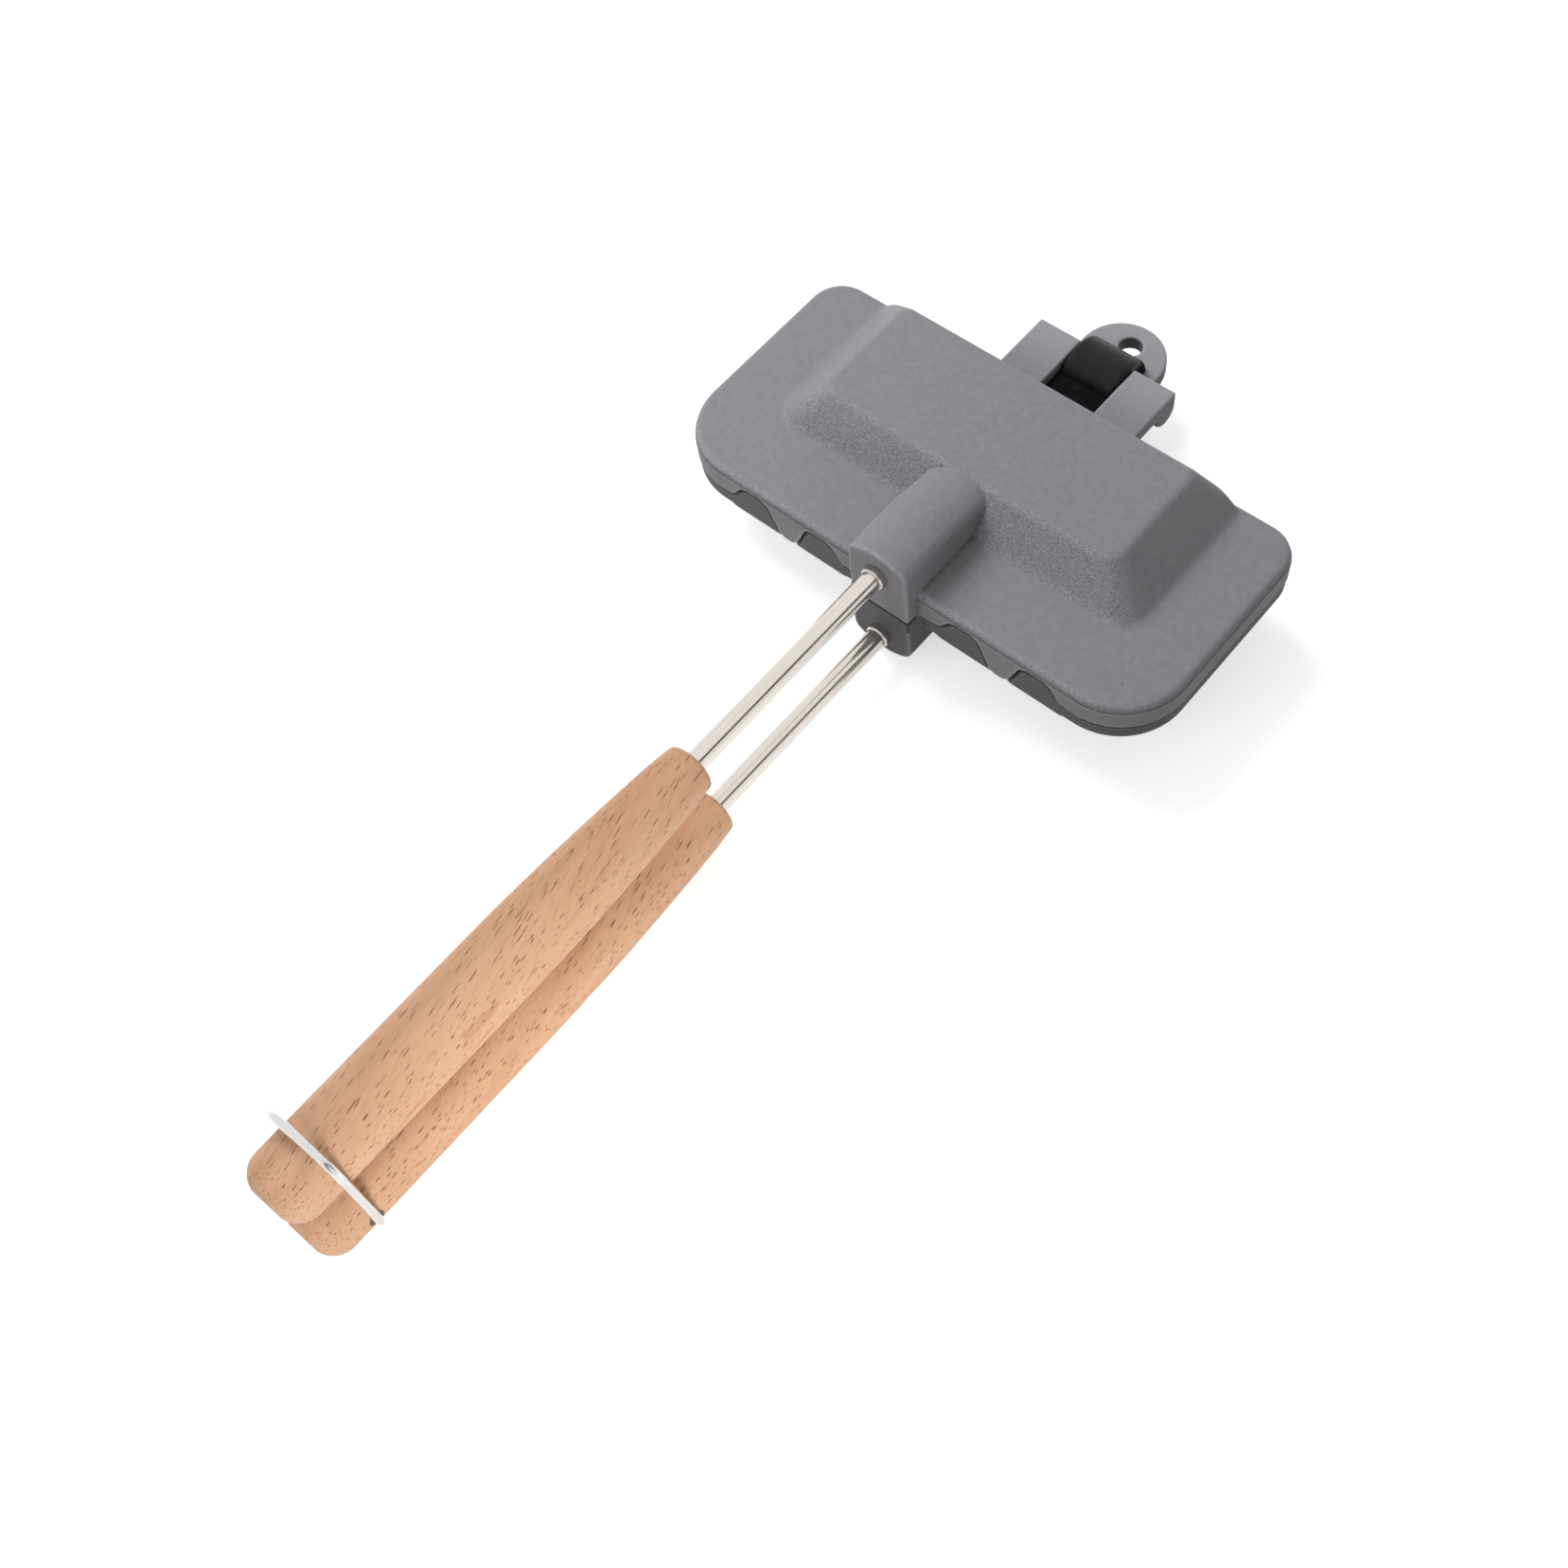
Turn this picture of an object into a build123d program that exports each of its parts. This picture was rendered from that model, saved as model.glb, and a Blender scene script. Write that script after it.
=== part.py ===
from build123d import *
from math import sqrt
import os

# Double-sided sandwich pan: two cast trays hinged at the back, each with a
# tube and a wooden grip in front, and a wire bail that locks the grips.
# Millimetres.  X runs along the length of the trays, the handles point to -Y
# and the hinge to +Y.  Z = 0 is the flat base of the lower tray, and x = y = 0
# is the middle of the trays.

os.makedirs("parts", exist_ok=True)

# Trays
pan_length = 211.6
pan_depth = 97.6
front_corner_radius = 26.5
back_corner_radius = 13.5
wall = 3.2
floor = 3.0
upper_rim_height = 11.7
lower_rim_height = 7.7
rim_rounding = 2.4
upper_rim_step = 0.4
upper_rim_step_drop = 2.9
seam_gap = 0.4
lower_rim_inset = 0.4

# Raised middle of each tray
plateau_side_setback = 25.8
plateau_front_setback = 30.5
plateau_side_run = 16.2
plateau_front_run = 11.2
plateau_back_setback = 7.7
plateau_back_overrun = 0.3
plateau_front_radius = 9.5
plateau_back_radius = 1.2
plateau_rim_gap = 0.3
plateau_top_front_radius = 7.0
plateau_top_back_radius = 5.0
upper_plateau_height = 15.3
lower_plateau_height = 19.6
plateau_foot_rounding = 4.0
plateau_top_rounding = 4.5
cavity_inset = 1.2

# Ridge with the handle boss at its front end
boss_width = 25.8
boss_reach = 5.7
boss_arch_radius = 20.5
boss_shoulder_rounding = 5.5
boss_edge_rounding = 1.2
ridge_rise = 3.5
lower_boss_lift = 1.0
ridge_level_length = 24.0
ridge_end_sink = 0.2
ridge_end_overlap = 0.6

# Wavy front seam
wave_start = 22.0
wave_end_run = 5.5
wave_crest_width = 10.5
wave_flank_run = 6.2
wave_lobe_width = 7.2
wave_margin = 3.5
wave_crest_height = 7.4
wave_lobe_depth = 7.1
wave_rounding = 4.8
wave_gap = 0.6
wave_clearance_behind = 1.0

# Hinge
hinge_reach = 24.6
hinge_rise = 1.5
arm_inner = 11.8
arm_outer = 30.5
arm_rise = 1.0
arm_thickness = 5.8
arm_edge_rounding = 0.8
lug_radius = 5.6
lug_width = 9.0
pin_diameter = 5.0
pin_clearance = 0.05
pin_end_gap = 0.3
lug_end_wall = 2.0
plug_length = 2.5
pin_end_rounding = 0.4

# Neck and hanging tab of the lower tray
neck_side_gap = 0.35
neck_drop = 2.6
tab_radius = 17.1
tab_reach = 14.5
tab_cut_reach = 9.2
tab_edge_rounding = 0.8
hang_hole_radius = 4.5
hang_hole_reach = 20.7

# Knuckle between the hinge arms
knuckle_radius = 13.7
knuckle_offset = 1.9
knuckle_drop = 4.8
knuckle_rounding = 2.0
tongue_gap = 0.6
tongue_rise = 3.0
screw_diameter = 3.0
screw_head_diameter = 5.4
screw_head_height = 2.6
screw_thread_length = 4.0
screw_spacing = 18.4
screw_hole_clearance = 0.1
screw_head_clearance = 0.2
screw_drive_radius = 1.4
screw_drive_depth = 1.4

# Handles
handle_spacing = 35.5
tube_diameter = 8.0
tube_wall = 1.0
tube_socket = 9.0
collar_diameter = 9.4
collar_length = 2.8
collar_rounding = 0.6
upper_grip_start = 94.4
lower_grip_start = 90.0
handle_length = 283.5
grip_front_radius = 9.1
grip_front_rounding = 2.0
grip_front_slope = 0.14
grip_neck_radius = 11.1
grip_neck_reach = 23.0
grip_radius = 13.4
grip_full_reach = 90.0
grip_tail_rounding = 9.0
grip_socket = 40.0
rod_diameter = 5.0
rod_thread_length = 26.0
rod_hole_clearance = 0.2
rod_end_gap = 1.0
seat_clearance = 0.03
rod_stickout = 1.0

# Fasteners at the tail of each grip
tail_pocket_diameter = 12.0
tail_pocket_depth = 9.0
washer_diameter = 11.0
washer_thickness = 1.0
spring_washer_diameter = 9.2
spring_washer_thickness = 1.3
spring_washer_slit = 0.8
nut_width = 8.0
nut_height = 4.0

# Locking bail
wire_diameter = 3.0
bail_pivot_from_tail = 19.5
bail_arm = 52.5
bail_side_gap = 0.7
bail_bend = 10.0
bail_foot_bend = 1.9
bail_foot_length = 6.5
bush_diameter = 6.0
bush_length = 7.0
bush_clearance = 0.05

# Heights and places that follow from the sizes above
lower_flange = lower_plateau_height
seam = lower_flange + lower_rim_height
upper_floor = seam + seam_gap / 2
lower_top = seam - seam_gap / 2
upper_flange = seam + upper_rim_height
upper_crown = upper_flange + upper_plateau_height
pan_front = -pan_depth / 2
pan_back = pan_depth / 2
boss_front = pan_front - boss_reach
plateau_half = pan_length / 2 - plateau_side_setback
plateau_front = pan_front + plateau_front_setback
plateau_back_run = plateau_back_setback + plateau_back_overrun
hinge_y = pan_back + hinge_reach
hinge_z = seam + hinge_rise
upper_axis = hinge_z + handle_spacing / 2
lower_axis = hinge_z - handle_spacing / 2
tail = boss_front - handle_length
grip_starts = {"upper": boss_front - upper_grip_start, "lower": boss_front - lower_grip_start}
axes = {"upper": upper_axis, "lower": lower_axis}

# Tolerance for picking edges by their place
near = 0.05


def pan_outline(inset):
    """Outline of a tray, drawn this far inside its outer edge."""
    with BuildSketch(mode=Mode.PRIVATE) as outline:
        Rectangle(pan_length - 2 * inset, pan_depth - 2 * inset)
        fillet(outline.vertices().group_by(Axis.Y)[0], front_corner_radius - inset)
        fillet(outline.vertices().group_by(Axis.Y)[-1], back_corner_radius - inset)
    return outline.sketch


def plateau_outline(share, inset):
    """Outline of the raised middle; share 0 is its foot and share 1 its top."""
    half_length = plateau_half - plateau_side_run * share - inset
    front = plateau_front + plateau_front_run * share + inset
    back = pan_back + plateau_back_overrun - plateau_back_run * share - inset
    front_radius = plateau_front_radius + (plateau_top_front_radius - plateau_front_radius) * share
    back_radius = plateau_back_radius + (plateau_top_back_radius - plateau_back_radius) * share
    with BuildSketch(mode=Mode.PRIVATE) as outline:
        with Locations((0, (front + back) / 2)):
            Rectangle(2 * half_length, back - front)
        fillet(outline.vertices().group_by(Axis.Y)[0], front_radius)
        fillet(outline.vertices().group_by(Axis.Y)[-1], back_radius)
    return outline.sketch


def plateau_form(flange, crown, inset):
    """Raised middle of a tray, rooted in its rim and cut off where the rounding of the rim starts."""
    root = flange - rim_rounding if crown > flange else flange + rim_rounding
    root_share = (root - flange) / (crown - flange)
    with BuildPart(mode=Mode.PRIVATE) as form:
        with BuildSketch(Plane.XY.offset(root)):
            add(plateau_outline(root_share, 0))
        with BuildSketch(Plane.XY.offset(crown)):
            add(plateau_outline(1, 0))
        loft()
        with BuildSketch(Plane.XY.offset(root)):
            add(pan_outline(inset + rim_rounding + plateau_rim_gap))
        extrude(amount=crown - root, mode=Mode.INTERSECT)
    return form.part


def plateau_hollow(foot, top, inset):
    """Space under the raised middle of a tray."""
    with BuildPart(mode=Mode.PRIVATE) as hollow:
        with BuildSketch(Plane.XY.offset(foot)):
            add(plateau_outline(0, cavity_inset))
        with BuildSketch(Plane.XY.offset(top)):
            add(plateau_outline(1, cavity_inset))
        loft()
        with BuildSketch(Plane.XY.offset(foot)):
            add(pan_outline(inset + rim_rounding + plateau_rim_gap + wall))
        extrude(amount=top - foot, mode=Mode.INTERSECT)
    return hollow.part


def boss_section(foot, crest):
    """Arched section of the ridge, seen from the handle side."""
    half = boss_width / 2
    sagitta = boss_arch_radius - sqrt(boss_arch_radius**2 - half**2)
    up = 1 if crest > foot else -1
    shoulder = crest - up * sagitta
    with BuildSketch(mode=Mode.PRIVATE) as section:
        with BuildLine():
            Polyline((-half, shoulder), (-half, foot), (half, foot), (half, shoulder))
            ThreePointArc((half, shoulder), (0, crest), (-half, shoulder))
        make_face()
        shoulders = section.vertices().group_by(Axis.Y)[-1 if up > 0 else 0]
        fillet(shoulders, boss_shoulder_rounding)
    return section.sketch


def wave_zone(far_side):
    """Side of the wavy seam that reaches to far_side, grown by half the gap."""
    crest = seam + wave_crest_height
    trough = seam - wave_lobe_depth
    wave = [(wave_start, seam)]
    for run, height in (
        (wave_end_run, crest),
        (wave_crest_width, crest),
        (wave_flank_run, trough),
        (wave_lobe_width, trough),
        (wave_flank_run, crest),
        (wave_crest_width, crest),
        (wave_end_run, seam),
    ):
        wave.append((wave[-1][0] + run, height))
    first = wave_start - wave_margin
    last = wave[-1][0] + wave_margin
    with BuildSketch(mode=Mode.PRIVATE) as zone:
        with BuildLine():
            Polyline((first, far_side), (first, seam), *wave, (last, seam), (last, far_side), close=True)
        make_face()
        corners = [v for v in zone.vertices() if first + near < v.X < last - near]
        fillet(corners, wave_rounding)
        offset(amount=wave_gap / 2)
        mirror(about=Plane.YZ)
    return zone.sketch


def level_edges(part, level):
    """Level edges of a part at one height, each with its bounding box."""
    found = [(edge, edge.bounding_box()) for edge in part.edges()]
    return [(e, b) for e, b in found if max(abs(b.min.Z - level), abs(b.max.Z - level)) < near]


def plateau_foot_edges(part, level):
    """Edges at one height where the front and the sides of the plateau meet the flange."""
    picked = []
    for edge, box in level_edges(part, level):
        reach = max(-box.min.X, box.max.X)
        on_ridge = reach < boss_width / 2 + near
        on_foot = plateau_front - near < box.min.Y < pan_back / 2
        if on_foot and reach < plateau_half + near and not on_ridge:
            picked.append(edge)
    return picked


def boss_face_edges(part, parting):
    """Edges round the front face of the boss, without the one at the parting plane."""
    picked = []
    for edge in part.edges():
        box = edge.bounding_box()
        on_face = max(abs(box.min.Y - boss_front), abs(box.max.Y - boss_front)) < near
        at_parting = max(abs(box.min.Z - parting), abs(box.max.Z - parting)) < near
        if on_face and not at_parting:
            picked.append(edge)
    return picked


def rounded_tray(part, flange, crown, parting):
    """Cast shape of a tray with its plateau and the front face of its boss rounded."""
    shape = part.solid()
    shape = shape.fillet(plateau_foot_rounding, plateau_foot_edges(shape, flange))
    top_edges = [edge for edge, box in level_edges(shape, crown)]
    shape = shape.fillet(plateau_top_rounding, top_edges)
    return shape.fillet(boss_edge_rounding, boss_face_edges(shape, parting))


# Upper tray, outer shape
ridge_crest = upper_crown + ridge_rise
ridge_bend = -boss_front - ridge_level_length
ridge_end = -plateau_front - plateau_front_run - ridge_end_overlap
upper_plateau = plateau_form(upper_flange, upper_crown, upper_rim_step)
with BuildPart() as upper_form:
    with BuildSketch(Plane.XY.offset(upper_floor)):
        add(pan_outline(upper_rim_step))
    extrude(amount=upper_flange - upper_floor)
    fillet(upper_form.faces().sort_by(Axis.Z)[-1].edges(), rim_rounding)
    with BuildSketch(Plane.XY.offset(upper_floor)):
        add(pan_outline(0))
    extrude(amount=upper_flange - upper_rim_step_drop - upper_floor)
    add(upper_plateau)
    with BuildSketch(Plane.XZ.offset(ridge_bend)):
        add(boss_section(upper_floor, ridge_crest))
    extrude(amount=ridge_level_length)
    with BuildSketch(Plane.XZ.offset(ridge_bend)):
        add(boss_section(upper_floor, ridge_crest))
    with BuildSketch(Plane.XZ.offset(ridge_end)):
        add(boss_section(upper_floor, upper_crown - ridge_end_sink))
    loft()

# Lower tray, outer shape
lower_plateau = plateau_form(lower_flange, 0, lower_rim_inset)
with BuildPart() as lower_form:
    with BuildSketch(Plane.XY.offset(lower_flange)):
        add(pan_outline(lower_rim_inset))
    extrude(amount=lower_top - lower_flange)
    fillet(lower_form.faces().sort_by(Axis.Z)[0].edges(), rim_rounding)
    add(lower_plateau)
    with BuildSketch(Plane.XZ.offset(ridge_end)):
        add(boss_section(lower_top, lower_boss_lift))
    extrude(amount=-boss_front - ridge_end)

# Space inside the upper tray
upper_hollow = plateau_hollow(upper_flange - floor, upper_crown - floor, upper_rim_step)
with BuildPart() as upper_cavity:
    with BuildSketch(Plane.XY.offset(upper_floor)):
        add(pan_outline(wall))
    extrude(amount=upper_flange - floor - upper_floor)
    add(upper_hollow)

# Space inside the lower tray
lower_hollow = plateau_hollow(lower_flange + floor, floor, lower_rim_inset)
with BuildPart() as lower_cavity:
    with BuildSketch(Plane.XY.offset(lower_flange + floor)):
        add(pan_outline(lower_rim_inset + wall))
    extrude(amount=lower_top - lower_flange - floor)
    add(lower_hollow)

# Hinge arms of the upper tray, with a lug round the pin at their outer sides
arm_floor = hinge_z + arm_rise
arm_back = hinge_y + lug_radius
arm_front = pan_back - wall / 2
with BuildPart() as hinge_arms:
    with BuildSketch(Plane.XY.offset(arm_floor)):
        with Locations(((arm_inner + arm_outer) / 2, (arm_front + arm_back) / 2)):
            Rectangle(arm_outer - arm_inner, arm_back - arm_front)
    extrude(amount=arm_thickness)
    with BuildSketch(Plane.YZ.offset(arm_outer - lug_width)):
        with Locations((hinge_y, hinge_z)):
            Circle(lug_radius)
        with Locations((hinge_y, hinge_z + arm_rise)):
            Rectangle(2 * lug_radius, 2 * arm_rise)
    extrude(amount=lug_width)
    arm_top = hinge_arms.faces().sort_by(Axis.Z)[-1]
    fillet(arm_top.edges(), arm_edge_rounding)
    mirror(about=Plane.YZ)

# Upper tray
front_wall_inside = pan_front + wall
with BuildPart() as upper_pan:
    add(rounded_tray(upper_form.part, upper_flange, upper_crown, upper_floor))
    add(upper_cavity.part, mode=Mode.SUBTRACT)
    add(hinge_arms.part)

    # lobes of the wavy seam hang down from the front wall
    lobe_half = wave_lobe_width / 2 + wave_flank_run
    lobe_middle = wave_start + wave_end_run + wave_crest_width + lobe_half
    with BuildSketch(Plane.XZ.offset(-front_wall_inside)):
        with Locations((lobe_middle, seam), (-lobe_middle, seam)):
            Rectangle(2 * lobe_half, 2 * wave_lobe_depth)
    extrude(amount=wall)
    with BuildSketch(Plane.XZ.offset(-front_wall_inside - near)):
        add(wave_zone(0))
    extrude(amount=2 * wall, mode=Mode.SUBTRACT)

    # bore of the hinge pin, closed at its right end
    with BuildSketch(Plane.YZ.offset(-arm_outer)):
        with Locations((hinge_y, hinge_z)):
            Circle(pin_diameter / 2 + pin_clearance)
    extrude(amount=2 * arm_outer - lug_end_wall, mode=Mode.SUBTRACT)

    # socket of the tube and thread of the tie rod
    with BuildSketch(Plane.XZ.offset(-boss_front)):
        with Locations((0, upper_axis)):
            Circle(tube_diameter / 2 + seat_clearance)
    extrude(amount=-tube_socket, mode=Mode.SUBTRACT)
    with BuildSketch(Plane.XZ.offset(-boss_front)):
        with Locations((0, upper_axis)):
            Circle(rod_diameter / 2 + seat_clearance)
    extrude(amount=-rod_thread_length - rod_end_gap, mode=Mode.SUBTRACT)
upper_pan.part.label = "upper_pan"
export_step(upper_pan.part, "parts/upper_pan.step")

# Neck and hanging tab of the lower tray
neck_half = arm_inner - neck_side_gap
neck_top = hinge_z - neck_drop
neck_root = pan_back - lower_rim_inset - wall / 2
tab_middle = hinge_y + tab_reach
tab_cut = hinge_y + tab_cut_reach
with BuildPart() as tab_form:
    with BuildSketch(Plane.XY.offset(lower_flange)):
        with Locations((0, tab_middle)):
            Circle(tab_radius)
        with Locations((0, tab_cut + tab_radius)):
            Rectangle(2 * tab_radius, 2 * tab_radius, mode=Mode.INTERSECT)
        with Locations((0, (neck_root + tab_middle) / 2)):
            Rectangle(2 * neck_half, tab_middle - neck_root)
    extrude(amount=neck_top - lower_flange)
    with BuildSketch(Plane.XY.offset(lower_flange)):
        with Locations((0, hinge_y + hang_hole_reach)):
            Circle(hang_hole_radius)
    extrude(amount=neck_top - lower_flange, mode=Mode.SUBTRACT)
    disc_edges = [e for e in tab_form.edges().filter_by(GeomType.CIRCLE) if e.radius > hang_hole_radius]
    fillet(disc_edges, tab_edge_rounding)

# Lower tray
screw_places = [(0, hinge_y - screw_spacing / 2), (0, hinge_y + screw_spacing / 2)]
with BuildPart() as lower_pan:
    add(rounded_tray(lower_form.part, lower_flange, 0, lower_top))
    add(lower_cavity.part, mode=Mode.SUBTRACT)
    add(tab_form.part)

    # tongues of the wavy seam stand up from the front wall
    tongue_half = wave_crest_width / 2 + wave_flank_run
    tongue_middles = [lobe_middle - lobe_half - wave_crest_width / 2]
    tongue_middles.append(lobe_middle + lobe_half + wave_crest_width / 2)
    tongue_places = [(side * x, seam) for x in tongue_middles for side in (-1, 1)]
    with BuildSketch(Plane.XZ.offset(-front_wall_inside - lower_rim_inset)):
        with Locations(*tongue_places):
            Rectangle(2 * tongue_half, 2 * wave_crest_height)
    extrude(amount=wall)
    with BuildSketch(Plane.XZ.offset(-front_wall_inside - lower_rim_inset - wave_clearance_behind)):
        add(wave_zone(upper_crown))
    extrude(amount=2 * wall, mode=Mode.SUBTRACT)

    # holes of the knuckle screws, with room for their heads below
    with BuildSketch(Plane.XY.offset(lower_flange)):
        with Locations(*screw_places):
            Circle(screw_diameter / 2 + screw_hole_clearance)
    extrude(amount=neck_top - lower_flange, mode=Mode.SUBTRACT)
    with BuildSketch(Plane.XY.offset(lower_flange)):
        with Locations(*screw_places):
            Circle(screw_head_diameter / 2 + screw_head_clearance)
    extrude(amount=screw_head_height + screw_head_clearance, mode=Mode.SUBTRACT)

    # socket of the tube and thread of the tie rod
    with BuildSketch(Plane.XZ.offset(-boss_front)):
        with Locations((0, lower_axis)):
            Circle(tube_diameter / 2 + seat_clearance)
    extrude(amount=-tube_socket, mode=Mode.SUBTRACT)
    with BuildSketch(Plane.XZ.offset(-boss_front)):
        with Locations((0, lower_axis)):
            Circle(rod_diameter / 2 + seat_clearance)
    extrude(amount=-rod_thread_length - rod_end_gap, mode=Mode.SUBTRACT)
lower_pan.part.label = "lower_pan"
export_step(lower_pan.part, "parts/lower_pan.step")

# Knuckle between the hinge arms, a barrel with a tongue towards the trays
barrel_y = hinge_y + knuckle_offset
barrel_z = hinge_z - knuckle_drop
tongue_front = pan_back + tongue_gap
with BuildPart() as hinge_knuckle:
    with BuildSketch(Plane.YZ.offset(-neck_half)):
        with Locations((barrel_y, barrel_z)):
            Circle(knuckle_radius)
        with Locations(((tongue_front + barrel_y) / 2, (neck_top + hinge_z + tongue_rise) / 2)):
            Rectangle(barrel_y - tongue_front, hinge_z + tongue_rise - neck_top)
        with Locations((barrel_y, neck_top + knuckle_radius)):
            Rectangle(2 * (barrel_y - tongue_front), 2 * knuckle_radius, mode=Mode.INTERSECT)
    extrude(amount=2 * neck_half)
    barrel_edges = hinge_knuckle.edges().filter_by(GeomType.CIRCLE)
    fillet(barrel_edges, knuckle_rounding)
    with BuildSketch(Plane.YZ.offset(-neck_half)):
        with Locations((hinge_y, hinge_z)):
            Circle(pin_diameter / 2)
    extrude(amount=2 * neck_half, mode=Mode.SUBTRACT)
    with BuildSketch(Plane.XY.offset(neck_top)):
        with Locations(*screw_places):
            Circle(screw_diameter / 2)
    extrude(amount=screw_thread_length, mode=Mode.SUBTRACT)
hinge_knuckle.part.label = "hinge_knuckle"
export_step(hinge_knuckle.part, "parts/hinge_knuckle.step")

# Two screws that hold the knuckle on the neck
screw_seat = lower_flange + screw_head_height + screw_head_clearance
with BuildPart() as knuckle_screws:
    with BuildSketch(Plane.XY.offset(screw_seat - screw_head_height)):
        with Locations(*screw_places):
            Circle(screw_head_diameter / 2)
    extrude(amount=screw_head_height)
    with BuildSketch(Plane.XY.offset(screw_seat)):
        with Locations(*screw_places):
            Circle(screw_diameter / 2)
    extrude(amount=neck_top + screw_thread_length - screw_seat)
    with BuildSketch(Plane.XY.offset(screw_seat - screw_head_height)):
        with Locations(*screw_places):
            RegularPolygon(screw_drive_radius, 6)
    extrude(amount=screw_drive_depth, mode=Mode.SUBTRACT)
knuckle_screws.part.label = "knuckle_screws"
export_step(knuckle_screws.part, "parts/knuckle_screws.step")

# Hinge pin, pressed into the knuckle, and the plug behind it
pin_left = -arm_outer + plug_length + pin_end_gap
pin_right = arm_outer - lug_end_wall - pin_end_gap
with BuildPart() as hinge_pin:
    with BuildSketch(Plane.YZ.offset(pin_left)):
        with Locations((hinge_y, hinge_z)):
            Circle(pin_diameter / 2)
    extrude(amount=pin_right - pin_left)
    fillet(hinge_pin.edges(), pin_end_rounding)
hinge_pin.part.label = "hinge_pin"
export_step(hinge_pin.part, "parts/hinge_pin.step")

with BuildPart() as pin_plug:
    with BuildSketch(Plane.YZ.offset(-arm_outer)):
        with Locations((hinge_y, hinge_z)):
            Circle(pin_diameter / 2 + pin_clearance)
    extrude(amount=plug_length)
pin_plug.part.label = "pin_plug"
export_step(pin_plug.part, "parts/pin_plug.step")

# Handles: the same parts twice, one set on each boss
bail_pivot = tail + bail_pivot_from_tail
washer_seat = tail + tail_pocket_depth
spring_seat = washer_seat - washer_thickness
nut_seat = spring_seat - spring_washer_thickness
rod_end = nut_seat - nut_height - rod_stickout
rod_start = boss_front + rod_thread_length
bush_inner = grip_radius - bush_length
for side, axis_z in axes.items():
    grip_start = grip_starts[side]
    tube_end = grip_start - grip_socket

    with BuildPart() as tube:
        with BuildSketch(Plane.XZ.offset(-boss_front - tube_socket)):
            with Locations((0, axis_z)):
                Circle(tube_diameter / 2)
                Circle(tube_diameter / 2 - tube_wall, mode=Mode.SUBTRACT)
        extrude(amount=boss_front + tube_socket - tube_end)
    tube.part.label = f"{side}_tube"
    export_step(tube.part, f"parts/{side}_tube.step")

    with BuildPart() as collar:
        with BuildSketch(Plane.XZ.offset(-boss_front)):
            with Locations((0, axis_z)):
                Circle(collar_diameter / 2)
        extrude(amount=collar_length)
        fillet(collar.edges().group_by(Axis.Y)[0], collar_rounding)
        with BuildSketch(Plane.XZ.offset(-boss_front)):
            with Locations((0, axis_z)):
                Circle(tube_diameter / 2 + seat_clearance)
        extrude(amount=collar_length, mode=Mode.SUBTRACT)
    collar.part.label = f"{side}_collar"
    export_step(collar.part, f"parts/{side}_collar.step")

    with BuildPart() as tie_rod:
        with BuildSketch(Plane.XZ.offset(-rod_start)):
            with Locations((0, axis_z)):
                Circle(rod_diameter / 2)
        extrude(amount=rod_start - rod_end)
    tie_rod.part.label = f"{side}_tie_rod"
    export_step(tie_rod.part, f"parts/{side}_tie_rod.step")

    # the grip is turned: its section is drawn from its front end to its tail
    section_plane = Plane(origin=(0, grip_start, axis_z), x_dir=(0, -1, 0), z_dir=(-1, 0, 0))
    grip_length = grip_start - tail
    with BuildPart() as grip:
        with BuildSketch(section_plane) as section:
            with BuildLine():
                Polyline((grip_full_reach, grip_radius), (grip_length, grip_radius), (grip_length, 0))
                Polyline((grip_length, 0), (0, 0), (0, grip_front_radius))
                Spline(
                    (0, grip_front_radius),
                    (grip_neck_reach, grip_neck_radius),
                    (grip_full_reach, grip_radius),
                    tangents=[(1, grip_front_slope), (1, 0)],
                )
            make_face()
            rims = section.vertices().filter_by(lambda v: abs(v.Y) > near)
            fillet(rims.group_by(Axis.X)[0], grip_front_rounding)
            fillet(section.vertices().sort_by_distance((grip_length, grip_radius))[0], grip_tail_rounding)
        revolve(axis=Axis((0, grip_start, axis_z), (0, -1, 0)))
        with BuildSketch(Plane.XZ.offset(-grip_start)):
            with Locations((0, axis_z)):
                Circle(tube_diameter / 2 + seat_clearance)
        extrude(amount=grip_socket, mode=Mode.SUBTRACT)
        with BuildSketch(Plane.XZ.offset(-grip_start)):
            with Locations((0, axis_z)):
                Circle(rod_diameter / 2 + rod_hole_clearance)
        extrude(amount=grip_length, mode=Mode.SUBTRACT)
        with BuildSketch(Plane.XZ.offset(-tail)):
            with Locations((0, axis_z)):
                Circle(tail_pocket_diameter / 2)
        extrude(amount=-tail_pocket_depth, mode=Mode.SUBTRACT)
        if side == "lower":
            for end in (-1, 1):
                with BuildSketch(Plane.YZ.offset(end * bush_inner)):
                    with Locations((bail_pivot, axis_z)):
                        Circle(bush_diameter / 2 + seat_clearance)
                extrude(amount=end * bush_length, mode=Mode.SUBTRACT)
    grip.part.label = f"{side}_grip"
    export_step(grip.part, f"parts/{side}_grip.step")

    with BuildPart() as washer:
        with BuildSketch(Plane.XZ.offset(-washer_seat)):
            with Locations((0, axis_z)):
                Circle(washer_diameter / 2)
                Circle(rod_diameter / 2 + rod_hole_clearance, mode=Mode.SUBTRACT)
        extrude(amount=washer_thickness)
    washer.part.label = f"{side}_washer"
    export_step(washer.part, f"parts/{side}_washer.step")

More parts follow.
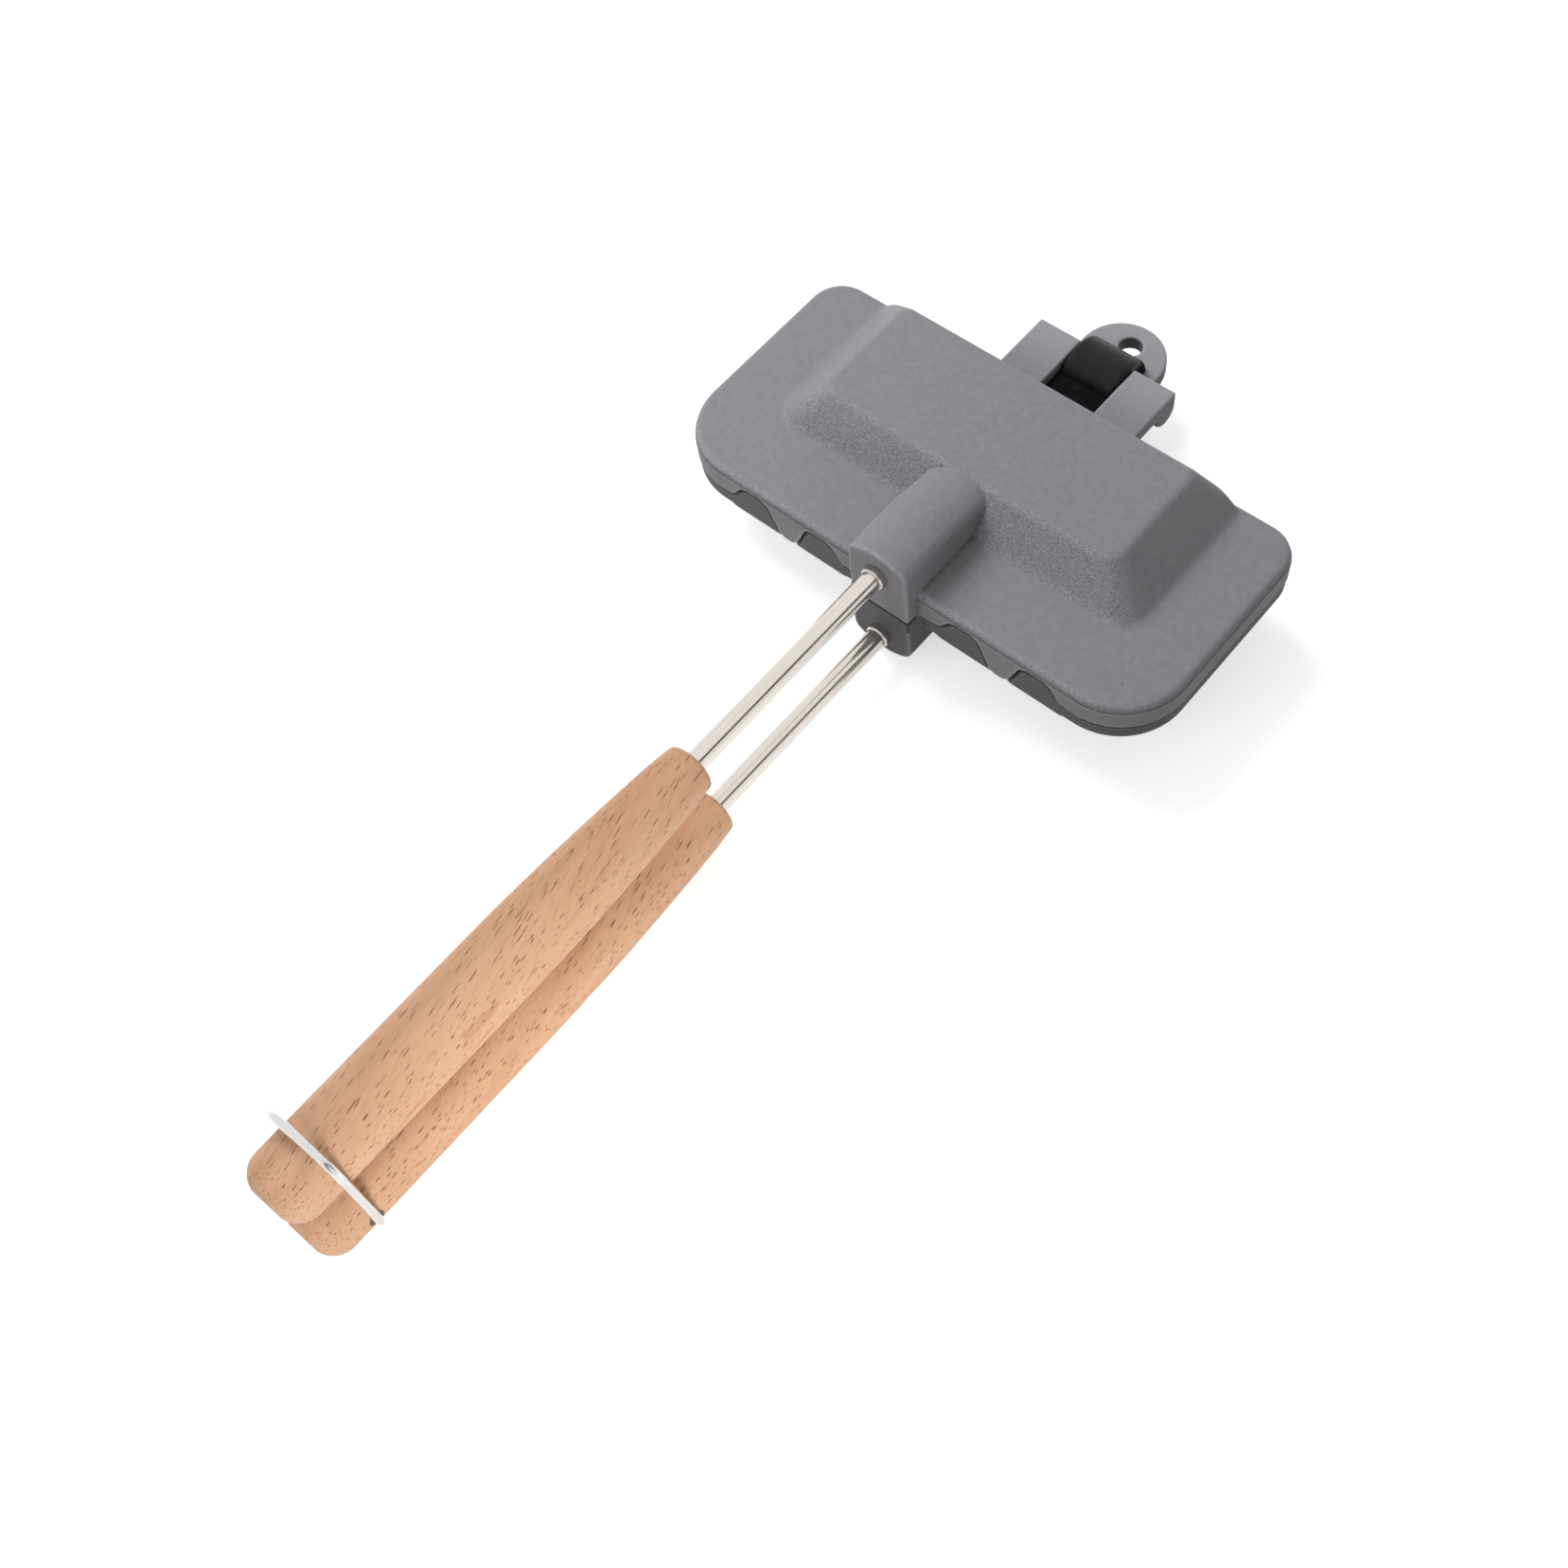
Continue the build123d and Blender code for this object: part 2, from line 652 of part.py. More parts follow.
    with BuildPart() as spring_washer:
        with BuildSketch(Plane.XZ.offset(-spring_seat)):
            with Locations((0, axis_z)):
                Circle(spring_washer_diameter / 2)
                Circle(rod_diameter / 2 + rod_hole_clearance, mode=Mode.SUBTRACT)
            with Locations((0, axis_z + spring_washer_diameter / 2)):
                Rectangle(spring_washer_slit, spring_washer_diameter, mode=Mode.SUBTRACT)
        extrude(amount=spring_washer_thickness)
    spring_washer.part.label = f"{side}_spring_washer"
    export_step(spring_washer.part, f"parts/{side}_spring_washer.step")

    with BuildPart() as nut:
        with BuildSketch(Plane.XZ.offset(-nut_seat)):
            with Locations((0, axis_z)):
                RegularPolygon(nut_width / 2, 6, major_radius=False)
                Circle(rod_diameter / 2 + seat_clearance, mode=Mode.SUBTRACT)
        extrude(amount=nut_height)
    nut.part.label = f"{side}_nut"
    export_step(nut.part, f"parts/{side}_nut.step")

# Two bushes in the lower grip, in which the feet of the bail turn
with BuildPart() as bail_bushes:
    for end in (-1, 1):
        with BuildSketch(Plane.YZ.offset(end * bush_inner)):
            with Locations((bail_pivot, lower_axis)):
                Circle(bush_diameter / 2)
                Circle(wire_diameter / 2 + bush_clearance, mode=Mode.SUBTRACT)
        extrude(amount=end * bush_length)
bail_bushes.part.label = "bail_bushes"
export_step(bail_bushes.part, "parts/bail_bushes.step")

# Wire bail: it stands on its two feet and its bar crosses over the upper grip
leg_x = grip_radius + bail_side_gap + wire_diameter / 2
foot_x = leg_x - bail_foot_length - wire_diameter / 2
bar_z = lower_axis + bail_arm
with BuildPart() as locking_bail:
    with BuildLine() as wire_path:
        corners = [
            (foot_x, bail_pivot, lower_axis),
            (leg_x, bail_pivot, lower_axis),
            (leg_x, bail_pivot, bar_z),
            (-leg_x, bail_pivot, bar_z),
            (-leg_x, bail_pivot, lower_axis),
            (-foot_x, bail_pivot, lower_axis),
        ]
        bends = [bail_foot_bend, bail_bend, bail_bend, bail_foot_bend]
        FilletPolyline(*corners, radius=bends)
    with BuildSketch(Plane(origin=corners[0], z_dir=(1, 0, 0))):
        Circle(wire_diameter / 2)
    sweep(path=wire_path.line)
locking_bail.part.label = "locking_bail"
export_step(locking_bail.part, "parts/locking_bail.step")
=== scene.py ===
import math

import bmesh
import bpy
import numpy as np
from mathutils import Matrix, Vector


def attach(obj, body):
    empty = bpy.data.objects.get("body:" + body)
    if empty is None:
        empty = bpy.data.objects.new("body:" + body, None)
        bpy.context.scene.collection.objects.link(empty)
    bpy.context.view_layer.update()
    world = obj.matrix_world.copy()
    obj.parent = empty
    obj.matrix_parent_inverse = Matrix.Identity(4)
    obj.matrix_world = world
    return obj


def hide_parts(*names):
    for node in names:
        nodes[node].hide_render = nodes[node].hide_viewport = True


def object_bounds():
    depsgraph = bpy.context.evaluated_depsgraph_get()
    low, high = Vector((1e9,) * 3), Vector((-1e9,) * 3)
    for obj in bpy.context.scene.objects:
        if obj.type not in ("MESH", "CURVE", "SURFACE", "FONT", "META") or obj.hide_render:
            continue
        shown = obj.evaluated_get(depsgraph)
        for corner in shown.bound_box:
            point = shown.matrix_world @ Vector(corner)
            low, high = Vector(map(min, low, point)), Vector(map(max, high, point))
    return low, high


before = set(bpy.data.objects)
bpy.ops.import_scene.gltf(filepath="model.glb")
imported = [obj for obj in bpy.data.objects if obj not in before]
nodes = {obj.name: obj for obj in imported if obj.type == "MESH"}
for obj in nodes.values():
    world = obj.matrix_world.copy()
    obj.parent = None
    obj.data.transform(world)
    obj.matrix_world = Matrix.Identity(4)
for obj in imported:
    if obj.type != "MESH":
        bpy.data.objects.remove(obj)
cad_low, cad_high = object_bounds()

MM = 0.001

# Camera, solved from the outline of the trays: the focal length and the photo's width are in pixels
FOCAL_PIXELS = 2048.6
PHOTO_WIDTH = 1657
SENSOR_WIDTH = 36.0
CAMERA_PLACE = Vector((0.26421, -0.33373, 0.59116))
CAMERA_RIGHT = Vector((0.754253, 0.650335, -0.090368))
CAMERA_DOWN = Vector((0.537509, -0.690632, -0.483850))
CAMERA_FORWARD = Vector((-0.377076, 0.316372, -0.870473))

# Light on the object, and how the floor looks to the light and to the camera
WORLD_LIGHT = 0.33
FLOOR_TONE = 0.7
FLOOR_SEEN = 0.99
FLOOR_GLOW = 0.6
FLOOR_HALF_SIZE = 6
FLOOR_GAP = 0.3 * MM

# Dark strip of the world that the metal mirrors: where it starts and ends along x, and how dark it is
STRIP_START = (0.58, 0.70)
STRIP_END = (0.88, 0.80)
STRIP_DEPTH = 0.9

# Places on the object where painted light and shade start and stop, and where the nylon turns shiny
RIM_STEP = 36.1 * MM
BOSS_SIDE = 13.5 * MM
SEAM_BOTTOM = 21.5 * MM
TRAY_BACK = 50 * MM
# Painted light on upward faces at the back of the trays starts here and is full at the next place
PAINTED_LIGHT_FROM = 50 * MM
PAINTED_LIGHT_FULL = 80 * MM
SHELF = 32.0 * MM
SHELF_FADE = 3 * MM

# Painted light at the upper tray's rim step: painted shade over it, a painted dark shade line on it, a
# painted highlight line under it
SHADE_HEIGHT = 1.9 * MM
SHADE_OVERLAP = 0.1 * MM
LINE_REACH = 0.4 * MM
LINE_CORE = 0.12 * MM
PALE_DROP = 0.75 * MM
PALE_CORE = 0.1 * MM

# Softening of the cast trays
CAST_VOXEL = 0.6 * MM
CAST_ROUNDS = 3

# Painted highlight on convex edges and painted shade in hollow corners: rounds of spreading, the curvature
# per metre where they start, and how much more of it gives their full tone
MARK_REACH = 2
MARK_START = 90
EDGE_SPAN = 500
HOLLOW_SPAN = 380

PAN_LIGHT = (0.292, 0.286, 0.307)
PAN_DARK = (0.258, 0.252, 0.271)
WOOD_PALE = (0.67, 0.40, 0.247)
WOOD_WARM = (0.59, 0.325, 0.187)
WOOD_LIGHT = (0.73, 0.463, 0.30)
WOOD_FIBRE = (0.46, 0.233, 0.12)
WOOD_FLECK = (0.2, 0.075, 0.03)
WOOD_RED = (0.48, 0.215, 0.12)
NYLON_DARK = (0.006, 0.006, 0.007)
NYLON_WORN = (0.012, 0.011, 0.013)
NYLON_SCUFF = (0.10, 0.10, 0.105)


def new_material(name):
    """A node material: returns the material, its tree and its shader."""
    material = bpy.data.materials.new(name)
    material.use_nodes = True
    return material, material.node_tree, material.node_tree.nodes["Principled BSDF"]


def node(tree, kind, inputs=None, **settings):
    """Adds a node; inputs maps a socket name or number to a value or to another socket."""
    made = tree.nodes.new(kind)
    for key, value in settings.items():
        setattr(made, key, value)
    for key, value in (inputs or {}).items():
        if isinstance(value, bpy.types.NodeSocket):
            tree.links.new(value, made.inputs[key])
        else:
            made.inputs[key].default_value = value
    return made


def math_node(tree, operation, *values, clamp=False):
    inputs = dict(enumerate(values))
    return node(tree, "ShaderNodeMath", inputs, operation=operation, use_clamp=clamp).outputs[0]


def position(tree):
    """Place on the object along x, y and z."""
    source = node(tree, "ShaderNodeTexCoord").outputs["Object"]
    return node(tree, "ShaderNodeSeparateXYZ", {0: source}).outputs


def ramp(tree, value, low, high, start=0.0, end=1.0):
    """Smooth step of a value from low to high onto start to end."""
    made = node(tree, "ShaderNodeMapRange", {0: value, 1: low, 2: high, 3: start, 4: end})
    made.interpolation_type = "SMOOTHSTEP"
    return made.outputs[0]


def place(tree, stretch=(1, 1, 1), turn=(0, 0, 0), shift=(0, 0, 0)):
    """Coordinates in the frame, turned, then stretched this many times along each axis."""
    source = node(tree, "ShaderNodeTexCoord").outputs["Object"]
    inputs = {"Vector": source, "Location": shift, "Rotation": turn, "Scale": stretch}
    return node(tree, "ShaderNodeMapping", inputs, vector_type="TEXTURE").outputs[0]


def noise(tree, vector, scale, detail=2.0, roughness=0.5, distortion=0.0):
    inputs = {"Vector": vector, "Scale": scale, "Detail": detail, "Roughness": roughness}
    inputs["Distortion"] = distortion
    return node(tree, "ShaderNodeTexNoise", inputs).outputs["Fac"]


def mix_colour(tree, factor, first, second, blend="MIX"):
    made = node(tree, "ShaderNodeMix", data_type="RGBA", blend_type=blend)
    for index, value in ((0, factor), (6, first), (7, second)):
        if isinstance(value, bpy.types.NodeSocket):
            tree.links.new(value, made.inputs[index])
        elif index == 0:
            made.inputs[index].default_value = value
        else:
            made.inputs[index].default_value = (*value, 1)
    return made.outputs[2]


def bump(tree, height, strength, distance):
    inputs = {"Height": height, "Strength": strength, "Distance": distance}
    return node(tree, "ShaderNodeBump", inputs).outputs[0]


def rim_step_painted_light(tree, axes):
    """Painted shade over and on the fine step in the upper tray's rim, and a painted highlight line just
    under it.
    """
    at = position(tree)
    outward = math_node(tree, "MULTIPLY_ADD", at[0], axes[0], math_node(tree, "MULTIPLY", at[1], axes[1]))
    beside = math_node(tree, "GREATER_THAN", math_node(tree, "ABSOLUTE", at[0]), BOSS_SIDE)
    wall = math_node(tree, "MULTIPLY", math_node(tree, "GREATER_THAN", outward, 0.0), beside)
    wall = math_node(tree, "MULTIPLY", wall, ramp(tree, axes[2], 0.95, 0.75))
    rise = math_node(tree, "SUBTRACT", at[2], RIM_STEP)
    over = math_node(tree, "GREATER_THAN", rise, -SHADE_OVERLAP)
    above = math_node(tree, "MULTIPLY", ramp(tree, rise, SHADE_HEIGHT, 0.0), over)
    line = ramp(tree, math_node(tree, "ABSOLUTE", rise), LINE_REACH, LINE_CORE)
    dark = math_node(tree, "MAXIMUM", math_node(tree, "MULTIPLY", above, 0.55), line)
    under = math_node(tree, "ABSOLUTE", math_node(tree, "ADD", rise, PALE_DROP))
    pale = ramp(tree, under, LINE_REACH, PALE_CORE)
    return math_node(tree, "MULTIPLY", dark, wall), math_node(tree, "MULTIPLY", pale, wall)


def seam_gap_shade(tree, edge):
    """Edges of the lower tray at the seam, painted near black as the shade in the gap under the upper tray.
    """
    at = position(tree)
    height = math_node(tree, "GREATER_THAN", at[2], SEAM_BOTTOM)
    tray = math_node(tree, "MULTIPLY", height, math_node(tree, "LESS_THAN", at[1], TRAY_BACK))
    return math_node(tree, "MULTIPLY", tray, edge)


def cast_look(name, light, dark, upper=True, painted_side_shade=1.0):
    """Grey non-stick coat on cast metal with a grain, and painted light: glints on front-facing slopes, shade
    on side faces, in hollows, at the rim step and seam, highlights on edges and at the back.
    """
    material, tree, shader = new_material(name)
    flat = place(tree)
    patches = noise(tree, flat, 26, 3)
    mottle = noise(tree, flat, 420, 3, 0.6)
    grain = noise(tree, flat, 2400, 2, 0.65)
    grit = noise(tree, flat, 2300, 1, 0.5)
    normal = node(tree, "ShaderNodeTexCoord").outputs["Normal"]
    axes = node(tree, "ShaderNodeSeparateXYZ", {0: normal}).outputs
    colour = mix_colour(tree, ramp(tree, mottle, 0.3, 0.7), dark, light)
    colour = mix_colour(tree, ramp(tree, patches, 0.35, 0.7, 0, 0.2), colour, light)
    upward = ramp(tree, axes[2], 0.1, 0.5)
    # Painted highlight: the grain's real glints and pits, faint everywhere, painted much stronger on slopes
    # that face the front
    front = math_node(tree, "MULTIPLY", ramp(tree, axes[1], -0.08, -0.5), upward)
    glint_amount = math_node(tree, "MULTIPLY_ADD", front, 0.7, 0.06)
    painted_glint = ramp(tree, grain, 0.48, 0.66)
    colour = mix_colour(tree, math_node(tree, "MULTIPLY", painted_glint, glint_amount), colour, [1.9 * c for c in light])
    pits = ramp(tree, grit, 0.46, 0.34)
    colour = mix_colour(tree, math_node(tree, "MULTIPLY", pits, glint_amount), colour, [0.5 * c for c in dark])
    specks = node(tree, "ShaderNodeTexVoronoi", {"Vector": flat, "Scale": 60.0}).outputs["Distance"]
    colour = mix_colour(tree, ramp(tree, specks, 0.028, 0.016, 0, 0.8), colour, [0.2 * c for c in dark])
    # Painted shade: faces that turn sideways or down are darkened by the side factor
    painted_sides = mix_colour(tree, upward, [painted_side_shade] * 3, (1.0, 1.0, 1.0))
    colour = mix_colour(tree, 1.0, colour, painted_sides, "MULTIPLY")
    # Painted light: faces that look up are paler towards the back of the trays
    back = ramp(tree, position(tree)[1], PAINTED_LIGHT_FROM, PAINTED_LIGHT_FULL, 0, 0.8)
    painted_back_light = math_node(tree, "MULTIPLY", back, upward)
    colour = mix_colour(tree, painted_back_light, colour, [1.35 * c for c in light])
    hollow = node(tree, "ShaderNodeAttribute", attribute_name="hollow").outputs["Fac"]
    edge = node(tree, "ShaderNodeAttribute", attribute_name="edge").outputs["Fac"]
    # Painted shade in hollow corners
    colour = mix_colour(tree, math_node(tree, "MULTIPLY", hollow, 0.95), colour, [0.3 * c for c in dark])
    # Painted highlight on convex edges
    colour = mix_colour(tree, math_node(tree, "MULTIPLY", edge, 0.55), colour, [1.55 * c for c in light])
    if upper:
        # Painted shade over and on the rim step, and a painted highlight line under it
        shaded, pale = rim_step_painted_light(tree, axes)
        colour = mix_colour(tree, math_node(tree, "MULTIPLY", shaded, 0.75), colour, [0.25 * c for c in dark])
        colour = mix_colour(tree, math_node(tree, "MULTIPLY", pale, 0.35), colour, [1.6 * c for c in light])
    else:
        # Painted shade: the lower tray's seam edges are made near black, as the shadow in the gap
        seam = seam_gap_shade(tree, edge)
        colour = mix_colour(tree, ramp(tree, seam, 0.1, 0.6, 0, 0.9), colour, [0.08 * c for c in dark])
    tree.links.new(colour, shader.inputs["Base Color"])
    tree.links.new(ramp(tree, mottle, 0.2, 0.8, 0.5, 0.64), shader.inputs["Roughness"])
    shader.inputs["Specular IOR Level"].default_value = 0.2
    lumps = noise(tree, flat, 1200, 1, 0.5)
    coarse = math_node(tree, "MULTIPLY", lumps, math_node(tree, "MULTIPLY", front, 2.0))
    tree.links.new(bump(tree, math_node(tree, "ADD", grain, coarse), 0.55, 0.00013), shader.inputs["Normal"])
    return material


def wood_look(name, seed):
    """Turned beech: pale orange-tan with thin dark flecks that slant a little to the grip."""
    material, tree, shader = new_material(name)
    slant = (0.0, 0.0, math.radians(13))
    along = place(tree, (1, 14, 1), slant, (seed, seed * 0.7, seed * 1.3))
    broad = place(tree, (1, 4, 1), slant, (seed * 0.4, 1.1, seed * 3))
    bands = noise(tree, along, 150, 3, 0.6, 0.3)
    fibre = noise(tree, along, 2100, 2, 0.65)
    tone = noise(tree, broad, 20, 2)
    colour = mix_colour(tree, ramp(tree, bands, 0.3, 0.72), WOOD_PALE, WOOD_WARM)
    colour = mix_colour(tree, ramp(tree, tone, 0.35, 0.7, 0, 0.5), colour, WOOD_LIGHT)
    colour = mix_colour(tree, ramp(tree, fibre, 0.42, 0.75, 0, 0.3), colour, WOOD_FIBRE)
    flecks = None
    for scale, kept, size in ((1150.0, 0.55, 0.27), (1600.0, 0.5, 0.29)):
        rays = place(tree, (1, 16, 1.3), slant, (seed * 2.1 + scale, 0.3, seed))
        cells = node(tree, "ShaderNodeTexVoronoi", {"Vector": rays, "Scale": scale, "Randomness": 1.0})
        pick = node(tree, "ShaderNodeSeparateColor", {0: cells.outputs["Color"]}).outputs
        thin = ramp(tree, cells.outputs["Distance"], size, 0.55 * size)
        layer = math_node(tree, "MULTIPLY", thin, ramp(tree, pick[0], kept, kept + 0.05))
        flecks = layer if flecks is None else math_node(tree, "MAXIMUM", flecks, layer)
    colour = mix_colour(tree, math_node(tree, "MULTIPLY", flecks, 0.95), colour, WOOD_FLECK)
    figure = noise(tree, place(tree, (1, 2, 1), slant, (seed * 5, 2.0, 0.4)), 70, 3, 0.5, 1.4)
    colour = mix_colour(tree, ramp(tree, figure, 0.66, 0.72, 0, 0.45), colour, WOOD_RED)
    tree.links.new(colour, shader.inputs["Base Color"])
    tree.links.new(ramp(tree, fibre, 0.2, 0.8, 0.42, 0.56), shader.inputs["Roughness"])
    shader.inputs["Specular IOR Level"].default_value = 0.25
    height = math_node(tree, "SUBTRACT", math_node(tree, "MULTIPLY", fibre, 0.4), flecks)
    tree.links.new(bump(tree, height, 0.35, 0.00012), shader.inputs["Normal"])
    return material


def metal_look(name, colour, rough, streak=(1, 60, 1), streak_scale=900.0, strength=0.02):
    """Metal with faint drawing marks along one axis and a few smudges."""
    material, tree, shader = new_material(name)
    lines = noise(tree, place(tree, streak), streak_scale, 2, 0.6)
    smudge = noise(tree, place(tree), 60, 3, 0.6)
    shade = mix_colour(tree, ramp(tree, lines, 0.3, 0.7), [0.93 * c for c in colour], colour)
    shade = mix_colour(tree, ramp(tree, smudge, 0.45, 0.8, 0, 0.25), shade, [0.86 * c for c in colour])
    tree.links.new(shade, shader.inputs["Base Color"])
    shader.inputs["Metallic"].default_value = 1.0
    dull = ramp(tree, smudge, 0.4, 0.8, 0, 0.06)
    roughness = math_node(tree, "ADD", ramp(tree, lines, 0.25, 0.75, rough, rough + 0.05), dull)
    tree.links.new(roughness, shader.inputs["Roughness"])
    tree.links.new(bump(tree, lines, strength, 0.00005), shader.inputs["Normal"])
    return material


def nylon_look(name):
    """Black moulded nylon: satin, fine scratches and pale scuffs."""
    material, tree, shader = new_material(name)
    flat = place(tree)
    grain = noise(tree, flat, 1500, 2, 0.6)
    worn = noise(tree, flat, 160, 4, 0.7)
    scratch = noise(tree, place(tree, (1, 9, 3), (0.3, 0.2, 0.9)), 2600, 2, 0.7)
    colour = mix_colour(tree, ramp(tree, worn, 0.35, 0.75), NYLON_DARK, NYLON_WORN)
    marks = math_node(tree, "MULTIPLY", ramp(tree, scratch, 0.66, 0.74), ramp(tree, worn, 0.48, 0.66))
    colour = mix_colour(tree, math_node(tree, "MULTIPLY", marks, 0.7), colour, NYLON_SCUFF)
    tree.links.new(colour, shader.inputs["Base Color"])
    tree.links.new(ramp(tree, grain, 0.2, 0.8, 0.38, 0.5), shader.inputs["Roughness"])
    shine = ramp(tree, position(tree)[2], SHELF, SHELF + SHELF_FADE, 0.02, 0.24)
    tree.links.new(shine, shader.inputs["Specular IOR Level"])
    tree.links.new(bump(tree, grain, 0.25, 0.00008), shader.inputs["Normal"])
    return material


looks = {
    # Both trays take the same coat; the lower one gets stronger painted side shade (0.34 against 0.8) and
    # painted seam shade
    "upper_pan": cast_look("coated_cast_upper", PAN_LIGHT, PAN_DARK, True, 0.8),
    "lower_pan": cast_look("coated_cast_lower", PAN_LIGHT, PAN_DARK, False, 0.34),
    "nylon": nylon_look("black_nylon_moulded"),
    "tube": metal_look("bright_tube_drawn", (0.80, 0.745, 0.69), 0.13, strength=0.0),
    "collar": metal_look("bright_collar_rolled", (0.62, 0.59, 0.56), 0.16, strength=0.0),
    "wire": metal_look("bright_wire_drawn", (0.80, 0.79, 0.775), 0.2, (1, 1, 20)),
    "steel": metal_look("plain_steel_turned", (0.56, 0.56, 0.57), 0.28, (1, 2.5, 1), 900.0, 0.1),
    "bush": metal_look("dark_steel_bush", (0.13, 0.12, 0.115), 0.35, strength=0.0),
    "upper_grip": wood_look("beech_upper", 0.37),
    "lower_grip": wood_look("beech_lower", 1.91),
}


def dress(name, look):
    """Gives a CAD node a finished material."""
    mesh = nodes[name].data
    mesh.materials.clear()
    mesh.materials.append(looks[look])


for side in ("upper", "lower"):
    dress(side + "_tube", "tube")
    dress(side + "_collar", "collar")
    dress(side + "_grip", side + "_grip")
    for part in ("tie_rod", "washer", "spring_washer", "nut"):
        dress(f"{side}_{part}", "steel")
for name in ("knuckle_screws", "hinge_pin"):
    dress(name, "steel")
dress("bail_bushes", "bush")
dress("locking_bail", "wire")
dress("hinge_knuckle", "nylon")
dress("pin_plug", "upper_pan")


def merged_copy(name):
    """Mesh of a CAD node with its split vertices joined."""
    shape = bmesh.new()
    shape.from_mesh(nodes[name].data)
    bmesh.ops.remove_doubles(shape, verts=shape.verts, dist=1e-6)
    mesh = bpy.data.meshes.new(name + "_cast")
    shape.to_mesh(mesh)
    shape.free()
    return mesh


def softened(name, piece_name, voxel, rounds):
    """A tray as it comes out of its mould: the CAD form with every edge a little round."""
    mesh = merged_copy(name)
    piece = bpy.data.objects.new(piece_name, mesh)
    bpy.context.scene.collection.objects.link(piece)
    remesh = piece.modifiers.new("cast", "REMESH")
    remesh.mode = "VOXEL"
    remesh.voxel_size = voxel
    soften = piece.modifiers.new("soften", "SMOOTH")
    soften.factor = 0.5
    soften.iterations = rounds
    bpy.context.view_layer.update()
    graph = bpy.context.evaluated_depsgraph_get()
    final = bpy.data.meshes.new_from_object(piece.evaluated_get(graph))
    piece.modifiers.clear()
    piece.data = final
    final.shade_smooth()
    return piece


def curvature_for_painted_light(piece, reach):
    """Stores on the mesh how far each place stands proud (edge) or lies in a corner (hollow), for painted
    highlights and painted shade.
    """
    mesh = piece.data
    count = len(mesh.vertices)
    co = np.empty(count * 3)
    mesh.vertices.foreach_get("co", co)
    co = co.reshape(-1, 3)
    normal = np.empty(count * 3)
    mesh.vertex_normals.foreach_get("vector", normal)
    normal = normal.reshape(-1, 3)
    pairs = np.empty(len(mesh.edges) * 2, int)
    mesh.edges.foreach_get("vertices", pairs)
    a, b = pairs.reshape(-1, 2).T
    step = co[b] - co[a]
    length = np.maximum(np.linalg.norm(step, axis=1), 1e-9)
    bend = ((normal[b] - normal[a]) * step).sum(1) / length**2
    total = np.bincount(a, bend, count) + np.bincount(b, bend, count)
    weight = np.bincount(a, minlength=count) + np.bincount(b, minlength=count)
    value = total / np.maximum(weight, 1)
    for _ in range(reach):
        spread = np.bincount(a, value[b], count) + np.bincount(b, value[a], count)
        value = 0.5 * value + 0.5 * spread / np.maximum(weight, 1)
    for label, sign, span in (("edge", 1, EDGE_SPAN), ("hollow", -1, HOLLOW_SPAN)):
        attribute = mesh.attributes.new(label, "FLOAT", "POINT")
        strength = np.clip((sign * value - MARK_START) / span, 0, 1)
        attribute.data.foreach_set("value", strength.astype(np.float32))


for name, body in (("upper_pan", "upper"), ("lower_pan", "lower")):
    tray = softened(name, name + "_cast", CAST_VOXEL, CAST_ROUNDS)
    curvature_for_painted_light(tray, MARK_REACH)
    tray.data.materials.clear()
    tray.data.materials.append(looks[name])
    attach(tray, body)
    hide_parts(name)


def studio_world():
    """White for the camera, even and dimmer as light, with one dark strip for the metal to mirror."""
    world = bpy.data.worlds.new("studio")
    bpy.context.scene.world = world
    world.use_nodes = True
    tree = world.node_tree
    background = tree.nodes["Background"]
    path = node(tree, "ShaderNodeLightPath").outputs
    seen = math_node(tree, "MAXIMUM", path["Is Camera Ray"], path["Is Transmission Ray"])
    direction = node(tree, "ShaderNodeTexCoord").outputs["Generated"]
    towards = node(tree, "ShaderNodeSeparateXYZ", {0: direction}).outputs
    started = ramp(tree, towards[0], *STRIP_START)
    strip = math_node(tree, "MULTIPLY", started, ramp(tree, towards[0], *STRIP_END))
    level = ramp(tree, path["Is Glossy Ray"], 0, 1, WORLD_LIGHT, 1.0)
    level = math_node(tree, "MAXIMUM", seen, level)
    dark = math_node(tree, "MULTIPLY", strip, STRIP_DEPTH)
    dimmed = math_node(tree, "MULTIPLY", path["Is Glossy Ray"], dark)
    background.inputs["Color"].default_value = (1, 1, 1, 1)
    tree.links.new(math_node(tree, "SUBTRACT", level, dimmed, clamp=True), background.inputs["Strength"])


